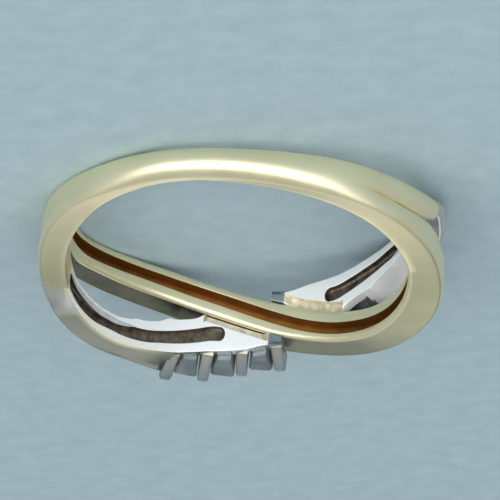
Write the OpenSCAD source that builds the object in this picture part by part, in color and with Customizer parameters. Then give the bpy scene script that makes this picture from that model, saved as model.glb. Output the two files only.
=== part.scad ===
// Two-tone crossover ring, lying on its side as it rests on a table.
// A narrow yellow shank forks at each shoulder into two arms. The polished yellow arm
// crosses the head in one S, and a white arm set with three step-cut stones fills the
// corner on either side of it. The ring has half-turn symmetry about the line from the
// middle of the finger hole through the middle of the head.
//
// Ring frame: the finger hole runs along Z, the head is at +Y and the shank at -Y.
// Angles are degrees about Z from +X, so the head's middle is at 90 and the shank's at -90.
// Heights are measured outwards from the wall of the finger hole, edges along the finger.

/* [Finger hole] */
// Diameter of the finger hole
hole_d = 17; // [16.5:0.1:17.5]

/* [Shank] */
// Width of the shank along the finger, at its narrowest
shank_w = 1.56; // [1.46:0.02:1.66]
// Thickness of the shank at the middle of its dome
shank_t = 0.96; // [0.9:0.02:1.1]

/* [Hollowed backs] */
// Depth of the hollow along the back of the yellow arm
yellow_hollow_t = 0.9; // [0.5:0.05:1.1]
// Depth of the hollow along the back of a white arm
white_hollow_t = 0.4; // [0.3:0.02:0.44]

/* [Setting] */
// Angle of the first bar of a white arm
first_bar = 56.6; // [56.2:0.1:57]
// Angle from one bar to the next
bar_step = 11.2; // [11:0.1:11.4]
// Thickness of a bar, measured around the ring
bar_t = 0.58; // [0.5:0.02:0.6]
// Height of the bars
bar_h = 1.95; // [1.9:0.05:2.05]
// Height of the rail that carries the bars and stones
rail_h = 0.55; // [0.52:0.01:0.57]

/* [Gaps] */
// Gap between the yellow and the white metal
seam = 0.03; // [0.02:0.01:0.05]

/* [Rest] */
// Turn about X that lays the ring on its side
rest_turn_x = 6.12; // [0:0.01:8]
// Turn about Y that lays the ring on its side
rest_turn_y = 5.86; // [0:0.01:8]
// Height of the middle of the finger hole above the table
rest_h = 2.09; // [2:0.01:4]
// Distance from the middle of the ring's outline to the middle of the finger hole, along Y
rest_y = -0.68; // [-1:0.01:0]

/* [Hidden] */
hole_r = hole_d / 2;
core = -0.5;          // height of the inner side of every skin before the hole is bored
slot = -0.4;          // height of the floor between the two lobes past the fork
dome_steps = 8;       // facets across a domed face
crease = 0.06;        // half width of the crease between the lobes of a shoulder
fork = -12;           // angle where the gap between the two arms opens at the finger hole
white_start = -3;     // angle where the upper lobe turns from yellow to white metal
setting_start = 55.7; // angle where the full white arm steps down to its rail, in the first bar
white_end = 92.6;     // angle where the rail ends
rebate_start = 64.5;  // angle where the soldered rebate along the rail begins
rebate_w = 0.45;      // width of that rebate
rebate_t = 0.36;      // depth of that rebate
round_angle = 1.9;    // angle over which the round end of a hollow closes

// Yellow arm, from the middle of the shank to the middle of the head.
// Up to the fork its high edge is the crease against the upper lobe.
// Columns: angle, low edge, high edge, height of the side wall, height of the dome,
// inward lean of the outer side wall.
yellow_rows = [
    [-90, -shank_w / 2, 0.00, 0.20, shank_t, 0.00],
    [-75, -0.81, 0.00, 0.20, shank_t, 0.04],
    [-60, -0.84, 0.03, 0.33, shank_t + 0.02, 0.08],
    [-50, -0.84, 0.10, 0.54, 1.05, 0.11],
    [-40, -0.85, 0.18, 0.82, 1.13, 0.12],
    [-30, -0.87, 0.20, 1.02, 1.24, 0.12],
    [-20, -0.92, 0.27, 1.18, 1.38, 0.10],
    [-12, -0.97, 0.43, 1.29, 1.48, 0.08],
    [-5, -1.03, 0.52, 1.38, 1.57, 0.06],
    [5, -1.15, 0.42, 1.47, 1.67, 0.05],
    [12, -1.30, 0.24, 1.56, 1.77, 0.05],
    [20, -1.51, 0.02, 1.65, 1.89, 0.06],
    [30, -1.73, -0.13, 1.72, 2.02, 0.08],
    [40, -1.86, -0.21, 1.75, 2.08, 0.08],
    [50, -1.89, -0.20, 1.78, 2.12, 0.04],
    [60, -1.76, -0.06, 1.83, 2.16, 0.00],
    [70, -1.54, 0.17, 1.92, 2.24, 0.00],
    [80, -1.24, 0.52, 1.97, 2.30, 0.00],
    [90, -0.92, 0.92, 1.98, 2.32, 0.00],
];
// Upper lobe, from the middle of the shank to the start of the white metal.
// Columns as above.
lobe_rows = [
    [-90, 0.00, shank_w / 2, 0.20, shank_t, 0.00],
    [-75, 0.00, 0.84, 0.26, shank_t, 0.01],
    [-60, 0.03, 1.02, 0.50, shank_t + 0.02, 0.03],
    [-50, 0.10, 1.18, 0.78, 1.07, 0.08],
    [-40, 0.18, 1.46, 0.96, 1.18, 0.24],
    [-30, 0.20, 1.73, 1.06, 1.26, 0.34],
    [-20, 0.27, 2.00, 1.14, 1.36, 0.40],
    [-12, 0.43, 2.26, 1.22, 1.48, 0.46],
    [-5, 0.93, 2.50, 1.28, 1.56, 0.44],
    [2, 1.38, 2.74, 1.32, 1.61, 0.32],
];
// Crease between the lobes of a shoulder.
// Columns: angle, height of the crease, share of the outline that is two domes and not one.
crease_rows = [
    [-90, shank_t, 0.0],
    [-56, 1.06, 0.0],
    [-46, 1.10, 0.1],
    [-38, 1.10, 0.5],
    [-30, 0.98, 1.0],
    [-22, 0.50, 1.0],
    [-16, 0.00, 1.0],
    [-12, slot, 1.0],
];
// White arm up to the setting. Both sides flare outwards towards the stones.
// Columns: angle, low edge, high edge, height of the side wall, height of the dome, flare.
white_rows = [
    [-10, 0.60, 2.35, 1.24, 1.49, -0.54],
    [2, 1.38, 2.74, 1.32, 1.61, -0.32],
    [10, 1.61, 2.94, 1.34, 1.66, -0.08],
    [20, 1.79, 3.12, 1.40, 1.72, 0.00],
    [28, 1.86, 3.20, 1.46, 1.76, 0.00],
    [35, 1.70, 3.16, 1.54, 1.80, 0.02],
    [42, 1.44, 3.01, 1.60, 1.84, 0.08],
    [48, 1.20, 2.86, 1.64, 1.86, 0.22],
    [54, 0.86, 2.69, 1.66, 1.87, 0.42],
    [60, 0.60, 2.47, 1.66, 1.87, 0.42],
];
// Rail under the stones. Its low edge closes on the yellow arm and then follows it.
// Columns: angle, low edge, high edge.
rail_rows = [
    [50, 1.06, 2.81], [54, 0.86, 2.69], [58, 0.68, 2.56], [61, 0.54, 2.43], [63, 0.38, 2.36],
    [65, 0.12, 2.28], [67, -0.20, 2.20], [70, -0.40, 2.12], [75, -0.40, 1.99],
    [80, -0.40, 1.84], [85, -0.40, 1.60], [90, -0.40, 1.45], [96, -0.40, 1.41],
];
// Bars of one white arm. Columns: low and high edge on the rail, low and high edge at the tip.
bar_rows = [
    [0.72, 2.62, 0.16, 3.60],
    [0.24, 2.24, 0.24, 3.26],
    [0.62, 1.92, 0.62, 2.72],
    [1.07, 1.50, 1.07, 2.34],
];
// Stones of one white arm, between its bars.
// Columns: middle along the finger, half length at the girdle, half length at the foot.
stone_rows = [
    [1.76, 1.34, 0.86],
    [1.64, 1.17, 0.74],
    [1.64, 0.68, 0.30],
];
// Tiers of a step-cut stone, from the foot of the pavilion to the table.
// Columns: height, share of the way from the foot to the girdle.
tier_rows = [
    [0.60, 0.00], [1.08, 0.62], [1.46, 1.00], [1.53, 1.00], [1.70, 0.72], [1.82, 0.36],
];
stone_half_w = 0.62;     // half width at the girdle, around the ring
stone_half_foot = 0.34;  // half width at the foot
stone_corner = 0.14;     // cut corner

// Hollow along the back of the yellow arm, to the middle of the head.
// Columns: angle, low edge, high edge.
yellow_hollow_rows = [
    [-8, -0.62, -0.02], [2, -0.74, -0.12], [10, -0.92, -0.24], [20, -1.14, -0.50],
    [30, -1.33, -0.72], [40, -1.44, -0.85], [50, -1.46, -0.84], [60, -1.35, -0.70],
    [70, -1.13, -0.48], [80, -0.78, -0.12], [90, -0.33, 0.33],
];
// Hollow along the back of a white arm. Columns as above.
white_hollow_rows = [
    [-6, 1.42, 2.16], [2, 1.70, 2.46], [10, 1.87, 2.70], [20, 2.05, 2.88],
    [28, 2.12, 2.88], [36, 2.06, 2.76], [44, 1.90, 2.56], [50, 1.66, 2.34],
    [57, 1.34, 2.09], [63, 1.02, 1.82], [68, 0.76, 1.58], [73, 0.72, 1.50],
];

// Smooth curve through a table: the value of column c at angle a.
function row_of(t, a, i = 0) = i >= len(t) - 2 || a < t[i + 1][0] ? i : row_of(t, a, i + 1);
function lean(t, i, c) = let (b = max(i - 1, 0), e = min(i + 1, len(t) - 1))
    (t[e][c] - t[b][c]) / (t[e][0] - t[b][0]);
function value(t, a, c) = let (i = row_of(t, a), h = t[i + 1][0] - t[i][0], s = (a - t[i][0]) / h)
    t[i][c] * (1 + 2 * s) * pow(1 - s, 2) + lean(t, i, c) * h * s * pow(1 - s, 2)
        + t[i + 1][c] * s * s * (3 - 2 * s) + lean(t, i + 1, c) * h * s * s * (s - 1);

// The half turn of the ring carries angle a to 180 - a and swaps the two edges. A turned row
// past the middle of the head keeps a curve smooth there.
function turned(r) = concat([180 - r[0], -r[2], -r[1]], [for (k = [3:1:len(r) - 1]) r[k]]);
function past_head(t) = concat(t, [turned(t[len(t) - 2])]);
yellow_table = past_head(yellow_rows);
hollow_table = concat(yellow_hollow_rows,
    [for (i = [len(yellow_hollow_rows) - 2:-1:0]) turned(yellow_hollow_rows[i])]);
function half_turn(p) = [-p[0], p[1], -p[2]];

// A section point is [angle, height, place along the finger].
function place(p) = let (r = hole_r + p[1]) [r * cos(p[0]), r * sin(p[0]), p[2]];

// Dome between two edges, and the height of one dome over a wider pair of edges.
function dome(a, low, high, wall, top) = [for (k = [0:dome_steps]) let (t = 180 * k / dome_steps)
    [a, wall + (top - wall) * sin(t), (low + high) / 2 - (high - low) / 2 * cos(t)]];
function dome_height(z, low, high, wall, top) = let (u = (2 * z - low - high) / (high - low))
    wall + (top - wall) * sqrt(max(0, 1 - u * u));
function mixed(points, share, low, high, wall, top) = [for (p = points)
    [p[0], share * p[1] + (1 - share) * dome_height(p[2], low, high, wall, top), p[2]]];

// Triangles between two closed rings of n points that start at points a and b.
function band(a, b, n) = [for (k = [0:n - 1]) let (m = (k + 1) % n)
    each [[a + k, b + m, b + k], [a + k, a + m, b + m]]];

// Closed skin through rings of section points, with flat ends.
module skin(rings) {
    n = len(rings[0]);
    last = len(rings) - 1;
    polyhedron(
        points = [for (r = rings) each [for (p = r) place(p)]],
        faces = concat(
            [for (i = [0:last - 1]) each band(i * n, (i + 1) * n, n)],
            [[for (k = [n - 1:-1:0]) k], [for (k = [0:n - 1]) last * n + k]]));
}

// Cutter for a hollow back: it starts inside the finger hole and has round ends.
function rounded(angles, from, to) = [for (a = angles) let (e = min(a - from, to - a) / round_angle)
    [a, e >= 1 ? 1 : sqrt(max(0.02, 1 - pow(1 - e, 2)))]];
module hollow(table, depth, from, to, step) {
    near = [for (k = [0:4]) round_angle * (1 - cos(22.5 * k))];
    first = from + round_angle + step;
    angles = concat([for (k = near) from + k],
        [for (a = [first:step:to - round_angle - step / 2]) a], [for (k = [4:-1:0]) to - near[k]]);
    skin([for (s = rounded(angles, from, to))
        let (low = value(table, s[0], 1), high = value(table, s[0], 2),
            m = (low + high) / 2, w = (high - low) / 2 * s[1])
        [[s[0], slot, m - w], [s[0], depth, m - w], [s[0], depth, m + w], [s[0], slot, m + w]]]);
}

module finger_hole() {
    rotate([0, 0, 1.3]) cylinder(h = 12, r = hole_r, center = true, $fn = 96);
}

// Section of the yellow arm, and of the upper lobe beside it.
function arm_foot(a) = value(yellow_table, a, 1) + value(yellow_rows, a, 5);
function lobe_foot(a) = value(lobe_rows, a, 2) - value(lobe_rows, a, 5);
function arm_section(a) =
    let (low = arm_foot(a), high = value(yellow_table, a, 2),
        wall = value(yellow_table, a, 3), top = value(yellow_table, a, 4), forked = a >= fork,
        share = forked ? 1 : value(crease_rows, a, 2), c = a > white_start ? 0 : crease)
    concat([[a, core, low - value(yellow_rows, a, 5) * (1 - core / wall)]],
        mixed(dome(a, low, high - c, wall, top), share, low, lobe_foot(a), wall, top),
        [[a, forked ? (a > white_start ? core : slot) : valley(a), high - c / 3]]);
function valley(a) = let (share = value(crease_rows, a, 2))
    share * value(crease_rows, a, 1)
        + (1 - share) * dome_height(value(yellow_table, a, 2), arm_foot(a), lobe_foot(a),
            value(yellow_table, a, 3), value(yellow_table, a, 4));
function lobe_section(a) =
    let (forked = a >= fork, low = forked ? value(lobe_rows, a, 1) : value(yellow_table, a, 2),
        high = lobe_foot(a), wall = value(lobe_rows, a, 3), top = value(lobe_rows, a, 4),
        share = forked ? 1 : value(crease_rows, a, 2))
    concat([[a, forked ? slot : valley(a), low + crease / 3]],
        mixed(dome(a, low + crease, high, wall, top), share, arm_foot(a), high, wall, top),
        [[a, core, high + value(lobe_rows, a, 5) * (1 - core / wall)]]);

// Half of the band is one skin from the middle of the shank to the middle of the head. The
// lobe ends where the white metal begins. The half turn gives the other half.
module band_body() {
    forked_angles = concat([for (a = [-90:4:-22]) a], [-19, -16.6, -14.4, fork, -9, -6, white_start]);
    arm_angles = [for (a = [0:3:90]) a];
    both = [for (a = forked_angles) concat(arm_section(a), lobe_section(a))];
    alone = [for (a = arm_angles) arm_section(a)];
    n = len(both[0]);
    m = len(alone[0]);
    last = (len(both) - 1) * n;
    start = len(both) * n;
    half = [for (r = concat(both, alone)) each [for (p = r) place(p)]];
    faces = concat(
        [for (i = [0:len(both) - 2]) each band(i * n, (i + 1) * n, n)],
        band(last, start, m),
        [for (i = [0:len(alone) - 2]) each band(start + i * m, start + (i + 1) * m, m)],
        [for (k = [m:n - 3]) [last + n - 1, last + k, last + k + 1]],
        [[last + m, last + n - 1, last], [last + m, last, last + m - 1]]);
    polyhedron(
        points = concat(half, [for (p = half) half_turn(p)]),
        faces = concat(faces, [for (f = faces) [for (i = f) i + len(half)]]));
}

module rest() {
    translate([0, rest_y, rest_h]) rotate([rest_turn_x, rest_turn_y, 0]) children();
}

module yellow_band() {
    color("#d8c98a") rest() difference() {
        band_body();
        finger_hole();
        hollow(hollow_table, yellow_hollow_t, -8, 188, 4);
    }
}

// White arm: the full section up to the setting, then the rail under the stones.
function rail_low(a) = max(value(rail_rows, a, 1), value(yellow_table, a, 2) + seam);
function white_section(a, low, high, wall, top, flare) = concat(
    [[a, core, low], [a, 0.05, low]],
    dome(a, low - flare, high + flare, wall, top),
    [[a, 0.05, high], [a, core, high]]);
module white_body() {
    arm_angles = concat([white_start + 0.2], [for (a = [0:3:51]) a], [setting_start]);
    rail_angles = [for (a = [setting_start + 0.3:2.5:white_end]) a];
    skin(concat(
        [for (a = arm_angles) white_section(a, value(white_rows, a, 1), value(white_rows, a, 2),
            value(white_rows, a, 3), value(white_rows, a, 4), value(white_rows, a, 5))],
        [for (a = concat(rail_angles, [white_end]))
            white_section(a, rail_low(a), value(rail_rows, a, 2), rail_h, rail_h + 0.01, 0)]));
}

// Bar number i: a flat post across the arm, wider at its tip than at the rail.
module bar(i) {
    b = bar_rows[i];
    foot = hole_r + rail_h;
    tip = hole_r + bar_h;
    rotate([90, 0, first_bar + i * bar_step]) linear_extrude(bar_t, center = true)
        polygon([[foot - 0.2, b[0]], [foot - 0.2, b[1]], [foot, b[1]], [tip - 0.25, b[3]],
            [tip, b[3] - 0.2], [tip, b[2] + 0.2], [tip - 0.25, b[2]], [foot, b[0]]]);
}

module rebate() {
    angles = [for (a = [rebate_start:3:88]) a];
    skin([for (a = angles) let (low = rail_low(a) - 0.1, high = rail_low(a) + rebate_w)
        [[a, slot, low], [a, rebate_t, low], [a, rebate_t, high], [a, slot, high]]]);
}

module white_arm() {
    difference() {
        union() {
            white_body();
            for (i = [0:3]) bar(i);
        }
        finger_hole();
        hollow(white_hollow_rows, white_hollow_t, -5, 72.6, 3);
        rebate();
    }
}
module white_arm_upper() {
    color("#cfd2d4") rest() white_arm();
}
module white_arm_lower() {
    color("#cfd2d4") rest() rotate([0, 180, 0]) white_arm();
}

// Step-cut stone number i of an arm: eight-sided tiers from the foot to the table.
module stone(i) {
    s = stone_rows[i];
    points = [for (t = tier_rows)
        let (x = stone_half_foot + (stone_half_w - stone_half_foot) * t[1],
            z = s[2] + (s[1] - s[2]) * t[1], c = stone_corner * (0.5 + t[1] / 2), r = hole_r + t[0])
        each [[r, -x, z - c], [r, c - x, z], [r, x - c, z], [r, x, z - c],
            [r, x, c - z], [r, x - c, -z], [r, c - x, -z], [r, -x, c - z]]];
    last = len(tier_rows) - 1;
    rotate([0, 0, first_bar + (i + 0.5) * bar_step]) translate([0, 0, s[0]])
        polyhedron(points = points, faces = concat(
            [for (j = [0:last - 1]) each band(8 * j, 8 * (j + 1), 8)],
            [[for (k = [7:-1:0]) k], [for (k = [0:7]) 8 * last + k]]));
}
module stone_upper(i) {
    color("#a9bcc8") rest() stone(i);
}
module stone_lower(i) {
    color("#a9bcc8") rest() rotate([0, 180, 0]) stone(i);
}

yellow_band();
white_arm_upper();
white_arm_lower();
stone_upper(0);  // stone_upper_1
stone_upper(1);  // stone_upper_2
stone_upper(2);  // stone_upper_3
stone_lower(0);  // stone_lower_1
stone_lower(1);  // stone_lower_2
stone_lower(2);  // stone_lower_3
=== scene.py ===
"""Two-tone crossover ring, lying on its side on a plain pale floor.

Sizes are in millimetres in the ring's own frame: the finger hole runs along Z, the head is at
+Y and the shank at -Y. Angles are degrees about Z from +X, heights are measured outwards from
the wall of the finger hole, and edges along the finger. LAY turns this frame onto the floor.
The lower half of the ring is the upper half, turned half round about Y.
"""
import math

import bmesh
import bpy
from mathutils import Matrix, Vector


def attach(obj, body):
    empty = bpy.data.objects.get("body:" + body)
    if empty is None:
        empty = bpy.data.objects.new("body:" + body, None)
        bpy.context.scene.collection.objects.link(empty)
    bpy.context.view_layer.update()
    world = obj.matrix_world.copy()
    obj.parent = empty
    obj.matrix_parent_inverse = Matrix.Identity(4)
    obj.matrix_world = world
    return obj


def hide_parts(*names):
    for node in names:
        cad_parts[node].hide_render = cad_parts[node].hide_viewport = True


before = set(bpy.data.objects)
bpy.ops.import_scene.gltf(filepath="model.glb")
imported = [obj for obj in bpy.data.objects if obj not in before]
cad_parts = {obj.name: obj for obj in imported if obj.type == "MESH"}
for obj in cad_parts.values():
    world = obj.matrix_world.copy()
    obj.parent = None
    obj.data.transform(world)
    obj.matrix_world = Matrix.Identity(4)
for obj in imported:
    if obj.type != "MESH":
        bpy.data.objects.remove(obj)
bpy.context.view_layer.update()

MM = 0.001
HOLE_R = 8.5

# how the ring lies on the floor, and where the middle of its finger hole comes
REST_TURN_Y = Matrix.Rotation(math.radians(5.86), 4, "Y")
REST_TURN_X = Matrix.Rotation(math.radians(6.12), 4, "X")
REST_Y, REST_H = -0.68, 2.09
LAY = Matrix.Scale(MM, 4) @ Matrix.Translation((0, REST_Y, REST_H)) @ REST_TURN_Y @ REST_TURN_X
HALF_TURN = Matrix.Rotation(math.pi, 4, "Y")

SHANK_W, SHANK_T = 1.56, 0.96
FORK = -12.0                    # where the gap between two arms opens at the finger hole
FORK_SECTIONS = [FORK, -11.6, -11.0, -10.5]    # closer than elsewhere
WHITE_START = -3.0              # where the upper lobe turns from yellow to white metal
JOINT = 0.1                     # angle from the end of the lobe to the white arm
SETTING_START = 55.8            # where the full white arm ends, inside its first bar
WHITE_END = 92.6
SECTION_STEP, RAIL_STEP = 1.0, 0.8    # angles between sections
CREASE = 0.03                   # half width of the crease between the lobes of a shoulder
SEAM = 0.03                     # between a rail and the yellow arm
EDGE = 0.04                     # rounding of the long edges at the finger hole
ARM_EDGE = 0.25                 # rounding of the same edges along the yellow arm
# angles after the fork over which the crease closes, the rounded edge of the gap grows, and
# the rounding of the yellow arm grows
CREASE_FOR, GAP_EDGE_FOR, ARM_EDGE_FOR = 9.0, 6.0, 20.0

# angle, low edge, high edge, height of the side wall, height of the dome, inward lean of
# the outer side wall
YELLOW_ROWS = [
    (-90, -SHANK_W / 2, 0.00, 0.20, SHANK_T, 0.00),
    (-75, -0.81, 0.00, 0.20, SHANK_T, 0.04),
    (-60, -0.84, 0.03, 0.33, SHANK_T + 0.02, 0.08),
    (-50, -0.84, 0.10, 0.54, 1.05, 0.11),
    (-40, -0.85, 0.18, 0.82, 1.13, 0.12),
    (-30, -0.87, 0.20, 1.02, 1.24, 0.12),
    (-20, -0.92, 0.27, 1.18, 1.38, 0.10),
    (-12, -0.97, 0.43, 1.29, 1.48, 0.08),
    (-5, -1.03, 0.52, 1.38, 1.57, 0.06),
    (5, -1.15, 0.42, 1.47, 1.67, 0.05),
    (12, -1.30, 0.24, 1.56, 1.77, 0.05),
    (20, -1.51, 0.02, 1.65, 1.89, 0.06),
    (30, -1.73, -0.13, 1.72, 2.02, 0.08),
    (40, -1.86, -0.21, 1.75, 2.08, 0.08),
    (50, -1.89, -0.20, 1.78, 2.12, 0.04),
    (60, -1.76, -0.06, 1.83, 2.16, 0.00),
    (70, -1.54, 0.17, 1.92, 2.24, 0.00),
    (80, -1.24, 0.52, 1.97, 2.30, 0.00),
    (90, -0.92, 0.92, 1.98, 2.32, 0.00),
]
# upper lobe of the shank, with the lean of its outer side wall
LOBE_ROWS = [
    (-90, 0.00, SHANK_W / 2, 0.20, SHANK_T, 0.00),
    (-75, 0.00, 0.84, 0.26, SHANK_T, 0.01),
    (-60, 0.03, 1.02, 0.50, SHANK_T + 0.02, 0.03),
    (-50, 0.10, 1.18, 0.78, 1.07, 0.08),
    (-40, 0.18, 1.46, 0.96, 1.18, 0.24),
    (-30, 0.20, 1.73, 1.06, 1.26, 0.34),
    (-20, 0.27, 2.00, 1.14, 1.36, 0.40),
    (-12, 0.43, 2.26, 1.22, 1.48, 0.46),
    (-5, 0.93, 2.50, 1.28, 1.56, 0.44),
    (2, 1.38, 2.74, 1.32, 1.61, 0.32),
]
# white arm that continues the lobe, with the outward flare of both its sides
WHITE_ROWS = [
    (-10, 0.60, 2.35, 1.24, 1.49, -0.54),
    (2, 1.38, 2.74, 1.32, 1.61, -0.32),
    (10, 1.61, 2.94, 1.34, 1.66, -0.08),
    (20, 1.79, 3.12, 1.40, 1.72, 0.00),
    (28, 1.86, 3.20, 1.46, 1.76, 0.00),
    (35, 1.70, 3.16, 1.54, 1.80, 0.02),
    (42, 1.44, 3.01, 1.60, 1.84, 0.08),
    (48, 1.20, 2.86, 1.64, 1.86, 0.22),
    (54, 0.86, 2.69, 1.66, 1.87, 0.42),
    (60, 0.60, 2.47, 1.66, 1.87, 0.42),
]
# crease of a shoulder: angle, height of the crease, share of the outline that is two domes
CREASE_ROWS = [
    (-90, SHANK_T, 0.0), (-52, 1.06, 0.0), (-43, 1.12, 0.0), (-38, 1.14, 0.15),
    (-33, 1.14, 0.6), (-28, 1.08, 1.0), (-22, 0.86, 1.0), (-16, 0.35, 1.0), (-12, 0.0, 1.0),
    (-5, 0.0, 1.0),
]
# nubs left by casting on the low edge of a white arm: angle, half width as an angle, size
NUB_ROWS = [(27, 2.5, 0.05), (40, 1.6, 0.06), (52, 2.0, 0.11)]

# rail under the stones: angle, low edge, high edge
RAIL_ROWS = [
    (50, 1.06, 2.81), (54, 0.86, 2.69), (58, 0.68, 2.56), (61, 0.54, 2.43),
    (63, 0.38, 2.36), (65, 0.12, 2.28), (67, -0.20, 2.20), (70, -0.40, 2.12),
    (75, -0.40, 1.99), (80, -0.40, 1.84), (85, -0.40, 1.60), (90, -0.40, 1.45),
    (96, -0.40, 1.41),
]
RAIL_H, RAIL_DOME = 0.55, 0.02
# rebate for the solder, along the low edge of a rail's back
REBATE_FROM, REBATE_TO, REBATE_W, REBATE_T = 64.5, 88.0, 0.45, 0.36
REBATE_IN, REBATE_OUT = 1.5, 3.0      # angles over which it deepens and comes out again
REBATE_WALL = 0.01                    # half width of its steep inner wall
REBATE_STEP = 0.01                    # angle between the two sections at either end of it

# hollow along a back: angle, low edge, high edge
YELLOW_HOLLOW_ROWS = [
    (-8, -0.62, -0.02), (2, -0.74, -0.12), (10, -0.92, -0.24), (20, -1.14, -0.50),
    (30, -1.33, -0.72), (40, -1.44, -0.85), (50, -1.46, -0.84), (60, -1.35, -0.70),
    (70, -1.13, -0.48), (80, -0.78, -0.12), (90, -0.33, 0.33),
]
WHITE_HOLLOW_ROWS = [
    (-6, 1.42, 2.16), (2, 1.68, 2.46), (10, 1.83, 2.68), (20, 1.96, 2.80),
    (28, 2.02, 2.72), (36, 2.00, 2.70), (44, 1.88, 2.56), (50, 1.66, 2.34),
    (57, 1.34, 2.09), (63, 1.02, 1.82), (68, 0.76, 1.58), (73, 0.72, 1.50),
]
YELLOW_HOLLOW_FROM, YELLOW_HOLLOW_TO, YELLOW_HOLLOW_T = -8.0, 188.0, 0.9
WHITE_HOLLOW_FROM, WHITE_HOLLOW_TO, WHITE_HOLLOW_T = -2.4, 72.6, 0.4
HOLLOW_END = 1.9                # angle over which the round end of a hollow closes
HOLLOW_TIP = 0.12               # share of its width at the very end
END_SECTIONS = 9                # sections along that end
END_WALL = 0.004                # angle that the steep wall at the end takes
LINE_UP = 1.0                   # angle beyond an end where a plain back's faces still meet it
LIP, FLOOR_EDGE = 0.035, 0.08   # roundings at the rim and along the floor
FLOOR_LEAST, FLOOR_MOST = 0.2, 0.9    # limits of the latter, as shares of half the width
# half width of the middle faces of a plain back
YELLOW_PLAIN, WHITE_PLAIN = 0.06, 0.05

FIRST_BAR, BAR_STEP, BAR_T, BAR_H = 56.6, 11.2, 0.58, 1.95
BAR_FOOT = WHITE_HOLLOW_T + 0.03
BAR_TIP, BAR_TAPER = 0.4, 0.16  # height of the tip, and how far it draws in at either end
BAR_ROUND, BAR_ROUND_STEPS = 0.17, 4
BAR_SHARP = math.radians(20)    # edges above the rail that are sharper than this are rounded
SLACK = 0.01                    # how far below the top of the rail they may start
# bars: low and high edge on the rail, low and high edge at the tip
BAR_ROWS = [
    (0.72, 2.62, 0.16, 3.60),
    (0.24, 2.24, 0.24, 3.26),
    (0.62, 1.92, 0.62, 2.72),
    (1.07, 1.50, 1.07, 2.34),
]
# stones: middle along the finger, half length at the girdle, half length at the foot
STONE_ROWS = [(1.76, 1.34, 0.86), (1.64, 1.17, 0.74), (1.64, 0.68, 0.30)]
# tiers of a step cut: height, share of the way from the foot to the girdle
TIER_ROWS = [(0.60, 0.0), (1.08, 0.62), (1.46, 1.0), (1.53, 1.0), (1.70, 0.72), (1.82, 0.36)]
STONE_HALF_W, STONE_HALF_FOOT, STONE_CORNER = 0.62, 0.34, 0.07

# Tints stored on the meshes: painted shade on sides and towards gaps, and a warm tone at the
# joint that also carries painted highlights on rims and bars. Each has the angle where it
# starts and the angle over which it grows to full, which is negative where it grows towards
# lower angles.
WARMTH_AND_HIGHLIGHT, PAINTED_SIDE_SHADE, PAINTED_DEEP_SHADE = "warmth", "dulling", "darkening"
TINT_CURVE = 1.5
# painted shade on the sides of the yellow lobe and arm, and deeper painted shade on the arm
LOBE_SHADE, ARM_SHADE, ARM_DEEP_SHADE = (-50, 45), (-40, 40), (20, 40)
# painted shade on the outer side of a white arm and on its side towards the gap
WHITE_SIDE_SHADE, GAP_SHADE = (3, 10), (28, -10)
START_WARM = (WHITE_START + 10, -10)
# painted highlight along the outer rim of a white arm's back
RIM_HIGHLIGHT_IN, RIM_HIGHLIGHT_OUT, RIM_HIGHLIGHT = (6, 6), (58, -18), 0.8
# painted highlight on the bars, strongest near the rail
BAR_HIGHLIGHT = (RAIL_H + 0.56, -0.8)      # in height, not angle
# where a tinted side ends, how far from it the tint reaches, and the height where it starts
LOBE_SIDE_END, ARM_SIDE_END = WHITE_START + 1, 90.5
YELLOW_REACH, WHITE_REACH, RIM_REACH = 0.08, 0.1, 0.07
ARM_SIDE_FOOT, WHITE_SIDE_FOOT = ARM_EDGE - 0.03, 0.2

SMOOTH = math.radians(38)       # edges flatter than this are shaded smooth
MERGE, SLIVER = 2e-6, 1e-7      # in metres


# ---------------------------------------------------------------- curves through the tables
def turned(row):
    """The row that the half turn of the ring makes of this one."""
    return (180 - row[0], -row[2], -row[1]) + tuple(row[3:])


YELLOW_TABLE = YELLOW_ROWS + [turned(YELLOW_ROWS[-2])]
YELLOW_HOLLOW_TABLE = YELLOW_HOLLOW_ROWS + [turned(YELLOW_HOLLOW_ROWS[-2])]


def value(rows, angle, column):
    """Column of a table at an angle, on a smooth curve through its rows."""
    i = 0
    while i < len(rows) - 2 and angle >= rows[i + 1][0]:
        i += 1

    def lean(k):
        a, b = rows[max(k - 1, 0)], rows[min(k + 1, len(rows) - 1)]
        return (b[column] - a[column]) / (b[0] - a[0])

    width = rows[i + 1][0] - rows[i][0]
    s = (angle - rows[i][0]) / width
    return (
        rows[i][column] * (1 + 2 * s) * (1 - s) ** 2
        + lean(i) * width * s * (1 - s) ** 2
        + rows[i + 1][column] * s * s * (3 - 2 * s)
        + lean(i + 1) * width * s * s * (s - 1)
    )


def growth(at, start, over):
    """Share that grows from 0 at the start to 1, backwards where over is negative."""
    return min(1.0, max(0.0, (at - start) / over))


def place(angle, height, along):
    a = math.radians(angle)
    r = HOLE_R + height
    return Vector((r * math.cos(a), r * math.sin(a), along))


# ---------------------------------------------------------------- sections of the arms
# points of each stretch of an outline
DOME_STEPS, ARC_STEPS, WALL_POINTS = 22, 2, 3
DOME_POINTS, ARC_POINTS, BACK_POINTS = DOME_STEPS + 1, 2 * ARC_STEPS + 1, 8


def dome(low, high, wall, top):
    """Points (height, along) of the domed outer face from its low edge to its high edge."""
    points = []
    for k in range(DOME_POINTS):
        t = math.pi * k / DOME_STEPS
        points.append((wall + (top - wall) * math.sin(t),
                       (low + high) / 2 - (high - low) / 2 * math.cos(t)))
    return points


def side_wall(a, b):
    """Points of a side wall, strictly between its ends a and b."""
    steps = WALL_POINTS + 1
    return [tuple(p + (q - p) * k / steps for p, q in zip(a, b)) for k in range(1, steps)]


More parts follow.
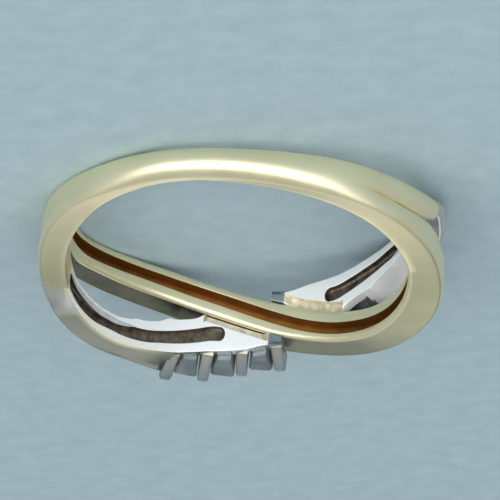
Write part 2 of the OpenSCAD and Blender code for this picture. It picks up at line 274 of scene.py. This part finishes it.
def rounded_edge(height, edge, radius, side):
    """Rounded edge at the finger hole, from the side wall to the inner wall.
    side is +1 at a low edge, where the metal lies towards higher places, and -1 at a high one."""
    points = []
    for k in range(ARC_POINTS):
        t = math.pi / 2 * k / (ARC_POINTS - 1)
        points.append((height + radius * (1 - math.sin(t)),
                       edge + side * radius * (1 - math.cos(t))))
    return points


def back(hollow):
    """Points of the back towards its high edge, down into the hollow and out again.
    hollow is (low edge, high edge, depth), and a depth of 0 leaves the back plain."""
    a, b, depth = hollow
    half = (b - a) / 2
    lip, floor = (LIP, min(FLOOR_EDGE, half * FLOOR_MOST)) if depth else (0, 0)
    wall_foot = max(depth - floor, lip)
    lip_out, floor_in = min(LIP, half), max(floor, half * FLOOR_LEAST)
    return [
        (0, a - lip_out), (lip, a), (wall_foot, a), (depth, a + floor_in),
        (depth, b - floor_in), (wall_foot, b), (lip, b), (0, b + lip_out),
    ]


def hollow_at(rows, angle, first, last, depth):
    """Hollow of a back at an angle, narrowed at its round ends."""
    inside = min(angle - first, last - angle)
    a, b = value(rows, angle, 1), value(rows, angle, 2)
    middle, half = (a + b) / 2, (b - a) / 2
    half *= max(HOLLOW_TIP, math.sqrt(1 - (1 - growth(inside, 0, HOLLOW_END)) ** 2))
    return (middle - half, middle + half, depth if inside > -END_WALL / 2 else 0.0)


def no_hollow(low, high, half):
    middle = (low + high) / 2
    return (middle - half, middle + half, 0.0)


def yellow_foot(angle):
    """Where the outer side wall of the yellow arm meets its dome."""
    return value(YELLOW_TABLE, angle, 1) + value(YELLOW_TABLE, angle, 5)


def lobe_foot(angle):
    """Where the outer side wall of the upper lobe meets its dome."""
    return value(LOBE_ROWS, angle, 2) - value(LOBE_ROWS, angle, 5)


def whole_height(angle, along):
    """Height of a shoulder's outline where one dome still covers both lobes."""
    low, high = yellow_foot(angle), lobe_foot(angle)
    u = (2 * along - low - high) / (high - low)
    mix = min(1.0, max(0.0, (1 + u) / 2))
    wall, top = ((1 - mix) * value(YELLOW_TABLE, angle, c) + mix * value(LOBE_ROWS, angle, c)
                 for c in (3, 4))
    return wall + (top - wall) * math.sqrt(max(0.0, 1 - u * u))


def lobe(angle, wall, top, edge, far, foot, hollow, rounding):
    """Open outline of one lobe of a shoulder, from the crease over the dome and back along the
    finger hole to the crease. edge is the crease side, far the outer side of the lobe at the
    finger hole and foot the same side where the dome starts."""
    side = 1 if far < edge else -1            # +1 when the far edge is the low one
    forked = angle >= FORK
    share = 1.0 if forked else min(1.0, max(0.0, value(CREASE_ROWS, angle, 2)))
    inset = side * CREASE * (1 - growth(angle, FORK, CREASE_FOR))
    shape = dome(min(edge - inset, foot), max(edge - inset, foot), wall, top)
    if share < 1:
        shape = [(share * h + (1 - share) * whole_height(angle, z), z) for h, z in shape]
    if side == 1:
        shape = shape[::-1]                   # from the crease to the far edge
    if forked:
        arc = rounded_edge(0, edge, rounding * growth(angle, FORK, GAP_EDGE_FOR), -side)
        first = last = arc[ARC_STEPS]
        up, down = arc[:ARC_STEPS][::-1], arc[ARC_STEPS + 1:][::-1]
    else:
        valley = share * value(CREASE_ROWS, angle, 1)
        if share < 1:
            valley += (1 - share) * whole_height(angle, edge)
        first, last = (valley, edge), (0.0, edge)
        up, down = [first] * ARC_STEPS, [last] * ARC_STEPS
    far_arc = rounded_edge(0, far, rounding, side)
    inner = back(hollow)
    if side == -1:
        inner = inner[::-1]
    return ([first] + up + side_wall(up[-1], shape[0]) + shape
            + side_wall(shape[-1], far_arc[0]) + far_arc + inner + down + [last])


def stations(first, last, step, extra):
    """Angles from first to last, with the extra ones among them."""
    count = max(1, round((last - first) / step))
    angles = {round(first + (last - first) * k / count, 4) for k in range(count + 1)}
    angles.update(round(a, 4) for a in extra if first < a < last)
    return sorted(angles)


def hollow_ends(first, last):
    """Angles of the sections at the round ends of a hollow."""
    near = [HOLLOW_END * (1 - math.cos(math.pi / 2 * k / END_SECTIONS))
            for k in range(END_SECTIONS + 1)]
    return ([first - END_WALL] + [first + a for a in near]
            + [last - a for a in near] + [last + END_WALL])


# ---------------------------------------------------------------- meshes
def select(*objs):
    bpy.ops.object.select_all(action="DESELECT")
    for obj in objs:
        obj.select_set(True)
    bpy.context.view_layer.objects.active = objs[0]


def smoothed(obj):
    select(obj)
    bpy.ops.object.shade_smooth_by_angle(angle=SMOOTH)


class Skin:
    """A mesh that grows section by section in the ring's own frame."""

    def __init__(self, name, finishes):
        self.name, self.finishes = name, finishes
        self.mesh = bmesh.new()

    def ring(self, angle, outline, turn=False):
        spots = [place(angle, h, z) for h, z in outline]
        if turn:
            spots = [HALF_TURN @ p for p in spots]
        return [self.mesh.verts.new(LAY @ p) for p in spots]

    def join(self, a, b, finish, closed):
        """Faces between two rings. finish gives the material of a face from the number of its
        first point."""
        n = len(a)
        for k in range(n if closed else n - 1):
            m = (k + 1) % n
            face = self.mesh.faces.new((a[k], a[m], b[m], b[k]))
            face.material_index = self.finishes.index(finish(k))

    def close(self, ring):
        self.mesh.faces.new(ring)

    def piece(self):
        bmesh.ops.remove_doubles(self.mesh, verts=self.mesh.verts, dist=MERGE)
        bmesh.ops.dissolve_degenerate(self.mesh, edges=self.mesh.edges, dist=SLIVER)
        bmesh.ops.recalc_face_normals(self.mesh, faces=self.mesh.faces)
        data = bpy.data.meshes.new(self.name)
        self.mesh.to_mesh(data)
        self.mesh.free()
        obj = bpy.data.objects.new(self.name, data)
        bpy.context.scene.collection.objects.link(obj)
        for material in self.finishes:
            data.materials.append(material)
        smoothed(obj)
        return obj


def tinted(obj, name, share):
    """Store a tint on a piece, from the angle, height and place along the finger of its points."""
    tint = obj.data.attributes.new(name, "FLOAT", "POINT")
    to_ring = LAY.inverted()
    for v, point in zip(obj.data.vertices, tint.data):
        spot = to_ring @ v.co
        angle = math.degrees(math.atan2(spot.y, spot.x))
        height = math.hypot(spot.x, spot.y) - HOLE_R
        point.value = share(angle, height, spot.z) ** TINT_CURVE


def leant(rows, angle, height):
    """How far a leaning or flared side wall stands off its edge at a height."""
    return value(rows, angle, 5) * height / value(rows, angle, 3)


# ---------------------------------------------------------------- materials
# noise scales of the tone, the gloss and the hand marks of a polish, and how deep the marks are
TONE_SCALE, GLOSS_SCALE, MARK_SCALE = 240, 700, 900
MARK_DEPTH, MARK_STRENGTH = 1.0e-5, 0.03
PIT_DEPTH = 4e-5


def nodes_of(name):
    material = bpy.data.materials.new(name)
    material.use_nodes = True
    tree = material.node_tree
    return material, tree, tree.nodes["Principled BSDF"]


def noise(tree, scale, detail, roughness=0.5):
    spot = tree.nodes.new("ShaderNodeTexCoord")
    texture = tree.nodes.new("ShaderNodeTexNoise")
    texture.inputs["Scale"].default_value = scale
    texture.inputs["Detail"].default_value = detail
    texture.inputs["Roughness"].default_value = roughness
    tree.links.new(spot.outputs["Object"], texture.inputs["Vector"])
    return texture.outputs["Fac"]


def ramp(tree, source, low, high):
    """Colour ramp between two stops (position, colour)."""
    node = tree.nodes.new("ShaderNodeValToRGB")
    tree.links.new(source, node.inputs["Fac"])
    for element, (at, colour) in zip(node.color_ramp.elements, (low, high)):
        element.position = at
        element.color = (*colour, 1)
    return node.outputs["Color"]


def grey(v):
    return (v, v, v)


def bumped(tree, shader, source, distance, strength):
    bump = tree.nodes.new("ShaderNodeBump")
    bump.inputs["Strength"].default_value = strength
    bump.inputs["Distance"].default_value = distance
    tree.links.new(source, bump.inputs["Height"])
    tree.links.new(bump.outputs["Normal"], shader.inputs["Normal"])


def polished(name, dark, light, rough, tints, metallic=1.0):
    """Worn polish: a faint change of tone and gloss, and hand marks a few microns deep.
    Each tint is (attribute of the mesh, colour), and the tone goes over to that colour where
    the attribute is high. A lower metallic share stands for fine scratches that scatter light."""
    material, tree, shader = nodes_of(name)
    shader.inputs["Metallic"].default_value = metallic
    tone = ramp(tree, noise(tree, TONE_SCALE, 3), (0.3, dark), (0.7, light))
    # the tints paint shade and highlights onto the tone
    for attribute_name, colour in tints:
        attribute = tree.nodes.new("ShaderNodeAttribute")
        attribute.attribute_name = attribute_name
        blend = tree.nodes.new("ShaderNodeMixRGB")
        tree.links.new(attribute.outputs["Fac"], blend.inputs["Fac"])
        tree.links.new(tone, blend.inputs["Color1"])
        blend.inputs["Color2"].default_value = (*colour, 1)
        tone = blend.outputs["Color"]
    tree.links.new(tone, shader.inputs["Base Color"])
    gloss = ramp(tree, noise(tree, GLOSS_SCALE, 2),
                 (0.3, grey(rough * 0.88)), (0.7, grey(rough * 1.14)))
    tree.links.new(gloss, shader.inputs["Roughness"])
    bumped(tree, shader, noise(tree, MARK_SCALE, 2), MARK_DEPTH, MARK_STRENGTH)
    return material


def cast_skin(name, dark, light, rough, scale, metallic=1.0):
    """Metal in a hollow, a gap or a seam: mottled, darkened and a little pitted.
    On the yellow side in the gap and in the yellow hollow the darkening is painted shade.
    """
    material, tree, shader = nodes_of(name)
    shader.inputs["Metallic"].default_value = metallic
    tone = ramp(tree, noise(tree, scale, 6, roughness=0.7), (0.32, dark), (0.66, light))
    tree.links.new(tone, shader.inputs["Base Color"])
    shader.inputs["Roughness"].default_value = rough
    bumped(tree, shader, noise(tree, scale * 2, 8, roughness=0.75), PIT_DEPTH, 0.5)
    return material


def cut_stone():
    """Clear stone with a mottled dark grey tint that is painted shade, a little dulled by wear."""
    material, tree, shader = nodes_of("clear stone")
    # painted shade: the dark grey stands in for the shadow behind the stone
    painted_stone_shade = ramp(tree, noise(tree, 900, 3), (0.3, (0.20, 0.24, 0.26)), (0.7, (0.40, 0.46, 0.48)))
    tree.links.new(painted_stone_shade, shader.inputs["Base Color"])
    wear = ramp(tree, noise(tree, 2200, 2), (0.3, grey(0.04)), (0.7, grey(0.12)))
    tree.links.new(wear, shader.inputs["Roughness"])
    shader.inputs["IOR"].default_value = 1.9
    shader.inputs["Transmission Weight"].default_value = 0.6
    return material


# tints: painted shade on the outer sides of the lobe and the arm, deeper on the arm near the
# setting
YELLOW = polished(
    "yellow gold, polished", (0.87, 0.785, 0.51), (0.92, 0.84, 0.57), 0.37,
    [(PAINTED_SIDE_SHADE, (0.56, 0.55, 0.35)), (PAINTED_DEEP_SHADE, (0.22, 0.235, 0.165))], metallic=0.82)
# the dark brown of the hollow is painted shade
YELLOW_FLOOR_SHADE = cast_skin(
    "yellow gold, hollow", (0.32, 0.15, 0.03), (0.50, 0.26, 0.07), 0.5, 900)
# painted shade on the yellow side wall that faces the gap
YELLOW_GAP_SHADE = cast_skin(
    "yellow gold, side in the gap", (0.055, 0.06, 0.035), (0.13, 0.135, 0.085), 0.42, 700)
# tints: painted shade on the outer side; the joint's warm tone, with a painted highlight at the rim
WHITE = polished(
    "white gold, polished", (0.60, 0.62, 0.60), (0.68, 0.69, 0.67), 0.24,
    [(PAINTED_SIDE_SHADE, (0.235, 0.25, 0.205)), (WARMTH_AND_HIGHLIGHT, (0.78, 0.745, 0.50))])
# tints: the joint's warm tone with a painted highlight at the rim, and painted shade towards the
# gap
WHITE_BACK = polished(
    "white gold, backs", (0.94, 0.95, 0.95), (0.98, 0.98, 0.98), 0.36,
    [(WARMTH_AND_HIGHLIGHT, (0.85, 0.81, 0.62)), (PAINTED_DEEP_SHADE, (0.26, 0.30, 0.32))], metallic=0.3)
# its tint is a painted highlight, warmer and lighter near the rail
BAR = polished(
    "white gold, bars", (0.30, 0.35, 0.37), (0.41, 0.46, 0.48), 0.36,
    [(WARMTH_AND_HIGHLIGHT, (0.66, 0.60, 0.46))], metallic=0.85)
WHITE_FLOOR = cast_skin(
    "white gold, hollow", (0.08, 0.062, 0.045), (0.32, 0.265, 0.205), 0.45, 1900)
SOLDER = cast_skin(
    "solder seam", (0.56, 0.49, 0.34), (0.96, 0.89, 0.70), 0.38, 2600, metallic=0.5)
STONE = cut_stone()


# ---------------------------------------------------------------- yellow band
def yellow_band():
    skin = Skin("yellow_band_polished", [YELLOW, YELLOW_FLOOR_SHADE, YELLOW_GAP_SHADE])
    # number of the first point of the back in an outline of the arm
    start = 1 + ARC_STEPS + WALL_POINTS + DOME_POINTS + WALL_POINTS + ARC_POINTS

    def finish_at(a):
        def finish(k):
            if start + 1 <= k < start + BACK_POINTS - 2:
                return YELLOW_FLOOR_SHADE
            # the side wall towards the gap takes the painted shade
            in_gap = a >= FORK and ARC_STEPS <= k <= ARC_STEPS + WALL_POINTS
            return YELLOW_GAP_SHADE if in_gap else YELLOW
        return finish

    def arm_outline(a):
        low, high, wall, top = (value(YELLOW_TABLE, a, c) for c in (1, 2, 3, 4))
        hollow = no_hollow(low, high, YELLOW_PLAIN)
        if a > YELLOW_HOLLOW_FROM - LINE_UP:
            hollow = hollow_at(YELLOW_HOLLOW_TABLE, a, YELLOW_HOLLOW_FROM, YELLOW_HOLLOW_TO,
                               YELLOW_HOLLOW_T)
        rounding = EDGE + (ARM_EDGE - EDGE) * growth(a, FORK, ARM_EDGE_FOR)
        return lobe(a, wall, top, high, low, yellow_foot(a), hollow, rounding)

    def lobe_outline(a):
        low = value(LOBE_ROWS, a, 1) if a >= FORK else value(YELLOW_TABLE, a, 2)
        high, wall, top = (value(LOBE_ROWS, a, c) for c in (2, 3, 4))
        return lobe(a, wall, top, low, high, lobe_foot(a), no_hollow(low, high, YELLOW_PLAIN), EDGE)

    ends = hollow_ends(YELLOW_HOLLOW_FROM, YELLOW_HOLLOW_TO)
    angles = stations(-90, 90, SECTION_STEP, ends + FORK_SECTIONS)
    lobe_angles = stations(-90, WHITE_START, SECTION_STEP, FORK_SECTIONS)
    for turn in (False, True):
        rings = [skin.ring(a, arm_outline(a), turn) for a in angles]
        for a, b, angle in zip(rings, rings[1:], angles):
            skin.join(a, b, finish_at(angle), closed=False)
        rings = [skin.ring(a, lobe_outline(a), turn) for a in lobe_angles]
        for a, b in zip(rings, rings[1:]):
            skin.join(a, b, lambda k: YELLOW, closed=False)
        skin.close(rings[-1][:-1])            # its last point is its first one again

    def on_lobe_side(a, height, along):
        edge = value(LOBE_ROWS, a, 2) - leant(LOBE_ROWS, a, height)
        return a <= LOBE_SIDE_END and along > edge - YELLOW_REACH

    def on_arm_side(a, height, along):
        edge = value(YELLOW_TABLE, a, 1) + leant(YELLOW_TABLE, a, height)
        return a <= ARM_SIDE_END and height >= ARM_SIDE_FOOT and along < edge + YELLOW_REACH

    def side_shade(a, height, along):
        """Painted shade: the outer sides grow darker towards the white metal and towards the head.
        """
        on_lobe = growth(a, *LOBE_SHADE) if on_lobe_side(a, height, along) else 0.0
        on_arm = growth(a, *ARM_SHADE) if on_arm_side(a, height, along) else 0.0
        return max(on_lobe, on_arm)

    def dark(a, height, along):
        """Painted shade: the outer side of the yellow arm is darkest where it meets the setting."""
        return growth(a, *ARM_DEEP_SHADE) if on_arm_side(a, height, along) else 0.0

    def both_halves(share):
        return lambda a, height, along: max(
            share(a, height, along), share((360 - a) % 360 - 180, height, -along))

    obj = skin.piece()
    # painted shade on the outer sides, on both halves
    tinted(obj, PAINTED_SIDE_SHADE, both_halves(side_shade))
    # deeper painted shade on the yellow arm where it meets the setting, on both halves
    tinted(obj, PAINTED_DEEP_SHADE, both_halves(dark))
    return obj


# ---------------------------------------------------------------- white arm
def rail_low(a):
    return max(value(RAIL_ROWS, a, 1), value(YELLOW_TABLE, a, 2) + SEAM)


def nubs(a):
    """How far the nubs stand out of the low edge of the arm."""
    return sum(size * math.exp(-((a - at) / width) ** 2) for at, width, size in NUB_ROWS)


def arm_section(a):
    """Low edge, high edge, side wall, dome and flare of the full arm."""
    low, high, wall, top, flare = (value(WHITE_ROWS, a, c) for c in (1, 2, 3, 4, 5))
    if a > RAIL_ROWS[0][0]:
        low = max(low, rail_low(a))
    return low - nubs(a), high, wall, top, flare


def rail_section(a):
    """The same sizes of the low rail under the stones."""
    return rail_low(a), value(RAIL_ROWS, a, 2), RAIL_H, RAIL_H + RAIL_DOME, 0


def white_outline(a, section):
    """Closed outline of the white arm, from its low edge over the dome and along the back."""
    low, high, wall, top, flare = section(a)
    hollow = no_hollow(low + REBATE_W, high, WHITE_PLAIN)
    if a < WHITE_HOLLOW_TO + LINE_UP:
        hollow = hollow_at(WHITE_HOLLOW_ROWS, a, WHITE_HOLLOW_FROM, WHITE_HOLLOW_TO,
                           WHITE_HOLLOW_T)
    depth = min(growth(a, REBATE_FROM, REBATE_IN), growth(a, REBATE_TO, -REBATE_OUT))
    rebate = REBATE_T * depth * depth * (3 - 2 * depth)
    low_arc = rounded_edge(rebate, low, EDGE, 1)[::-1]
    high_arc = rounded_edge(0, high, EDGE, -1)
    shape = dome(low - flare, high + flare, wall, top)
    return (low_arc + side_wall(low_arc[-1], shape[0]) + shape
            + side_wall(shape[-1], high_arc[0]) + high_arc + back(hollow)[::-1]
            + [(0.0, low + REBATE_W + REBATE_WALL), (rebate, low + REBATE_W - REBATE_WALL)])


def white_arm_body(name):
    skin = Skin(name, [WHITE, WHITE_FLOOR, SOLDER, WHITE_BACK, BAR])
    # numbers of the points in an outline: dome, rounded high edge, back, rebate
    dome_start = ARC_POINTS + WALL_POINTS
    arc_start = dome_start + DOME_POINTS + WALL_POINTS
    start = arc_start + ARC_POINTS
    end = start + BACK_POINTS

    def finish_at(a):
        hollowed = WHITE_HOLLOW_FROM - 2 * END_WALL < a <= WHITE_HOLLOW_TO
        soldered = REBATE_FROM <= a <= REBATE_TO

        def finish(k):
            if hollowed and start + 1 <= k < end - 2:
                return WHITE_FLOOR
            if soldered and k >= end:
                return SOLDER
            if a > REBATE_TO:
                return BAR
            return WHITE if dome_start <= k < arc_start else WHITE_BACK
        return finish

    extra = hollow_ends(WHITE_HOLLOW_FROM, WHITE_HOLLOW_TO)
    extra += [REBATE_FROM - REBATE_STEP, REBATE_FROM, REBATE_TO, REBATE_TO + REBATE_STEP]
    arm = stations(WHITE_START + JOINT, SETTING_START, SECTION_STEP, extra)
    rail = stations(SETTING_START, WHITE_END, RAIL_STEP, extra)
    rings = [skin.ring(a, white_outline(a, arm_section)) for a in arm]
    rings += [skin.ring(a, white_outline(a, rail_section)) for a in rail]
    for a, b, angle in zip(rings, rings[1:], arm + rail):
        skin.join(a, b, finish_at(angle), closed=True)
    skin.close(rings[0])
    skin.close(rings[-1])

    def side_shade(a, height, along):
        """Painted shade: the outer side of the arm is darker than its dome."""
        edge = value(WHITE_ROWS, a, 2) + leant(WHITE_ROWS, a, height)
        return growth(a, *WHITE_SIDE_SHADE) if along > edge - WHITE_REACH else 0.0

    def joint_warmth_and_rim_highlight(a, height, along):
        """The joint warms the start of the arm; a painted highlight warms the outer rim of its back
        a little.
        """
        on_rim = height < WHITE_SIDE_FOOT and along > value(WHITE_ROWS, a, 2) - RIM_REACH
        rim = RIM_HIGHLIGHT * min(growth(a, *RIM_HIGHLIGHT_IN), growth(a, *RIM_HIGHLIGHT_OUT)) if on_rim else 0.0
        return max(rim, growth(a, *START_WARM))

    def dark(a, height, along):
        """Painted shade: the side towards the gap is dark where the gap is narrow."""
        edge = value(WHITE_ROWS, a, 1) - leant(WHITE_ROWS, a, height)
        in_gap = height > WHITE_SIDE_FOOT and along < edge + WHITE_REACH
        return growth(a, *GAP_SHADE) if in_gap else 0.0

    obj = skin.piece()
    # the joint's warm tone, and a painted highlight on the rim
    tinted(obj, WARMTH_AND_HIGHLIGHT, joint_warmth_and_rim_highlight)
    # painted shade on the outer side
    tinted(obj, PAINTED_SIDE_SHADE, side_shade)
    # painted shade on the side towards the gap
    tinted(obj, PAINTED_DEEP_SHADE, dark)
    return obj


def in_setting(obj, step):
    """Carry a finished bar or stone from the +X axis to its place along the setting."""
    obj.data.transform(LAY @ Matrix.Rotation(math.radians(FIRST_BAR + step * BAR_STEP), 4, "Z"))


def bar(i):
    """Upright post across the setting: a block whose tip is drawn out over the stones."""
    foot_low, foot_high, tip_low, tip_high = BAR_ROWS[i]
    foot, shoulder, tip = HOLE_R + BAR_FOOT, HOLE_R + RAIL_H, HOLE_R + BAR_H
    bpy.ops.object.select_all(action="DESELECT")
    bpy.ops.mesh.primitive_cube_add(size=1)
    obj = bpy.context.object
    obj.name = f"bar_{i}"
    obj.scale = (shoulder - foot, BAR_T, foot_high - foot_low)
    obj.location = ((foot + shoulder) / 2, 0, (foot_low + foot_high) / 2)
    bpy.ops.object.transform_apply(location=True, rotation=False, scale=True)
    bpy.ops.object.mode_set(mode="EDIT")
    mesh = bmesh.from_edit_mesh(obj.data)
    bpy.ops.mesh.select_all(action="DESELECT")
    for face in mesh.faces:
        if face.normal.x > 0.9:
            face.select_set(True)
    bmesh.update_edit_mesh(obj.data)
    for height, low, high in ((tip - BAR_TIP, tip_low, tip_high),
                              (tip, tip_low + BAR_TAPER, tip_high - BAR_TAPER)):
        outer = [v.co.copy() for v in bmesh.from_edit_mesh(obj.data).verts if v.select]
        z0, z1 = min(v.z for v in outer), max(v.z for v in outer)
        bpy.ops.mesh.extrude_region_move(
            TRANSFORM_OT_translate={"value": (height - outer[0].x, 0, 0)})
        bpy.ops.transform.resize(value=(1, 1, (high - low) / (z1 - z0)),
                                 center_override=(height, 0, (z0 + z1) / 2))
        bpy.ops.transform.translate(value=(0, 0, (low + high) / 2 - (z0 + z1) / 2))
    mesh = bmesh.from_edit_mesh(obj.data)
    bpy.ops.mesh.select_all(action="DESELECT")
    for edge in mesh.edges:
        above = min(v.co.x for v in edge.verts) > shoulder - SLACK
        edge.select_set(above and edge.calc_face_angle() > BAR_SHARP)
    bmesh.update_edit_mesh(obj.data)
    bpy.ops.mesh.bevel(offset=BAR_ROUND, segments=BAR_ROUND_STEPS, affect="EDGES")
    bpy.ops.object.mode_set(mode="OBJECT")
    obj.data.materials.append(BAR)
    in_setting(obj, i)
    # painted highlight, strongest near the rail
    tinted(obj, WARMTH_AND_HIGHLIGHT, lambda a, height, along: growth(height, *BAR_HIGHLIGHT))
    smoothed(obj)
    return obj


def white_arm(name):
    body = white_arm_body(name)
    select(body, *[bar(i) for i in range(len(BAR_ROWS))])
    bpy.ops.object.join()
    return body


# ---------------------------------------------------------------- stones
def stone(i, name):
    """Step-cut stone: a plate with cut corners, drawn up tier by tier to the table."""
    middle, half_girdle, half_foot = STONE_ROWS[i]

    def half_sizes(share):
        return (STONE_HALF_FOOT + (STONE_HALF_W - STONE_HALF_FOOT) * share,
                half_foot + (half_girdle - half_foot) * share)

    x = HOLE_R + TIER_ROWS[0][0]
    w, h = half_sizes(0)
    bpy.ops.object.select_all(action="DESELECT")
    bpy.ops.mesh.primitive_plane_add(size=2)
    obj = bpy.context.object
    obj.name = name
    obj.rotation_euler = (0, math.pi / 2, 0)
    bpy.ops.object.transform_apply(location=False, rotation=True, scale=False)
    obj.scale = (1, w, h)
    obj.location = (x, 0, middle)
    bpy.ops.object.transform_apply(location=True, rotation=False, scale=True)
    bpy.ops.object.mode_set(mode="EDIT")
    bpy.ops.mesh.select_all(action="SELECT")
    bpy.ops.mesh.bevel(offset=STONE_CORNER, affect="VERTICES")
    bpy.ops.mesh.select_all(action="SELECT")
    for height, share in TIER_ROWS[1:]:
        new_w, new_h = half_sizes(share)
        bpy.ops.mesh.extrude_region_move(
            TRANSFORM_OT_translate={"value": (HOLE_R + height - x, 0, 0)})
        x = HOLE_R + height
        bpy.ops.transform.resize(value=(1, new_w / w, new_h / h), center_override=(x, 0, middle))
        w, h = new_w, new_h
    bpy.ops.mesh.select_all(action="SELECT")
    bpy.ops.mesh.normals_make_consistent(inside=False)
    bpy.ops.object.mode_set(mode="OBJECT")
    obj.data.materials.append(STONE)
    in_setting(obj, i + 0.5)
    return obj


# ---------------------------------------------------------------- the ring
def at_side(side, piece):
    """The finished upper piece itself, or for the lower side a copy of it with its own mesh."""
    if side == "upper":
        return piece
    copy = bpy.data.objects.new(piece.name.replace("upper", side), piece.data.copy())
    copy.data.transform(LAY @ HALF_TURN @ LAY.inverted())
    bpy.context.scene.collection.objects.link(copy)
    return copy


def ring():
    band = yellow_band()
    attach(band, "root")
    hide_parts("yellow_band")
    upper_arm = white_arm("white_arm_upper_polished")
    upper_gems = [stone(i, f"stone_upper_{i + 1}_cut") for i in range(len(STONE_ROWS))]
    for side in ("upper", "lower"):
        arm = at_side(side, upper_arm)
        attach(arm, "root")
        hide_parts(f"white_arm_{side}")
        for i, upper_gem in enumerate(upper_gems):
            gem = at_side(side, upper_gem)
            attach(gem, "root")
            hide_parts(f"stone_{side}_{i + 1}")


# ---------------------------------------------------------------- floor, light and camera
# in metres, like the sizes of the lights
FLOOR_SIZE, LIGHT_DISTANCE, LIGHT_AIM = 6, 0.6, Vector((0, 0, 0.003))


def floor():
    bpy.ops.object.select_all(action="DESELECT")
    bpy.ops.mesh.primitive_plane_add(size=FLOOR_SIZE)
    obj = bpy.context.object
    obj.name = "floor"
    material, tree, shader = nodes_of("floor, matt card")
    tone = ramp(tree, noise(tree, 700, 5, roughness=0.6),
                (0.3, (0.43, 0.56, 0.61)), (0.7, (0.505, 0.635, 0.69)))
    tree.links.new(tone, shader.inputs["Base Color"])
    shader.inputs["Roughness"].default_value = 0.85
    bumped(tree, shader, noise(tree, 3200, 4), PIT_DEPTH, 0.4)
    obj.data.materials.append(material)


def softbox(name, azimuth, elevation, size, brightness, colour=(1, 1, 1)):
    """Rectangular light that faces the ring. Azimuth 0 is on the -Y side, 90 on the +X side."""
    data = bpy.data.lights.new(name, "AREA")
    data.shape = "RECTANGLE"
    data.size, data.size_y = size
    data.color = colour
    data.energy = brightness * math.pi * size[0] * size[1]
    obj = bpy.data.objects.new(name, data)
    bpy.context.scene.collection.objects.link(obj)
    a, e = math.radians(azimuth), math.radians(elevation)
    back_way = Vector((math.sin(a) * math.cos(e), -math.cos(a) * math.cos(e), math.sin(e)))
    obj.location = LIGHT_AIM + back_way * LIGHT_DISTANCE
    obj.rotation_mode = "QUATERNION"
    obj.rotation_quaternion = (-back_way).to_track_quat("-Z", "Y")


def sky():
    """Even light from all round, and plain colours in the picture."""
    world = bpy.data.worlds.new("studio")
    world.use_nodes = True
    background = world.node_tree.nodes["Background"]
    background.inputs["Color"].default_value = (0.86, 0.93, 0.97, 1)
    background.inputs["Strength"].default_value = 0.42
    bpy.context.scene.world = world
    bpy.context.scene.view_settings.view_transform = "Standard"


# the photo's camera against the ring: elevation and azimuth of the view, and its roll
VIEW_ELEVATION, VIEW_AZIMUTH, VIEW_ROLL = (math.radians(d) for d in (25.65, 15.86, 6.65))
VIEW_RANGE = 21.8                       # distance, in radii of the finger hole
IMAGE = 500.0
VIEW_RADIUS = 170.3                     # radius of the finger hole in the image
VIEW_MIDDLE = (239.8, 245.0)            # where the middle of the finger hole comes in it


def camera():
    e, a, roll = VIEW_ELEVATION, VIEW_AZIMUTH, VIEW_ROLL
    ahead = Vector((math.sin(a) * math.cos(e), math.cos(a) * math.cos(e), -math.sin(e)))
    right = Vector((math.cos(a), -math.sin(a), 0))
    up = right.cross(ahead)
    right, up = (right * math.cos(roll) + up * math.sin(roll),
                 up * math.cos(roll) - right * math.sin(roll))
    # the photo shows the ring half a turn round from this, so right and up are both reversed
    view = Matrix((-right, -up, -ahead)).transposed().to_4x4()
    data = bpy.data.cameras.new("camera")
    data.sensor_width = 36
    data.lens = VIEW_RADIUS * VIEW_RANGE / IMAGE * data.sensor_width
    data.shift_x = (IMAGE / 2 - VIEW_MIDDLE[0]) / IMAGE
    data.shift_y = (VIEW_MIDDLE[1] - IMAGE / 2) / IMAGE
    data.clip_start, data.clip_end = 0.01, 20
    obj = bpy.data.objects.new("camera", data)
    bpy.context.scene.collection.objects.link(obj)
    spot = LAY @ (-ahead * (VIEW_RANGE * HOLE_R))
    obj.matrix_world = Matrix.Translation(spot) @ (REST_TURN_Y @ REST_TURN_X) @ view
    bpy.context.scene.camera = obj


ring()
floor()
softbox("front light", -8, 20, (1.5, 0.64), 2.3)
softbox("back light", 160, 33, (0.44, 0.28), 0.6, (1.0, 0.98, 0.92))
sky()
camera()
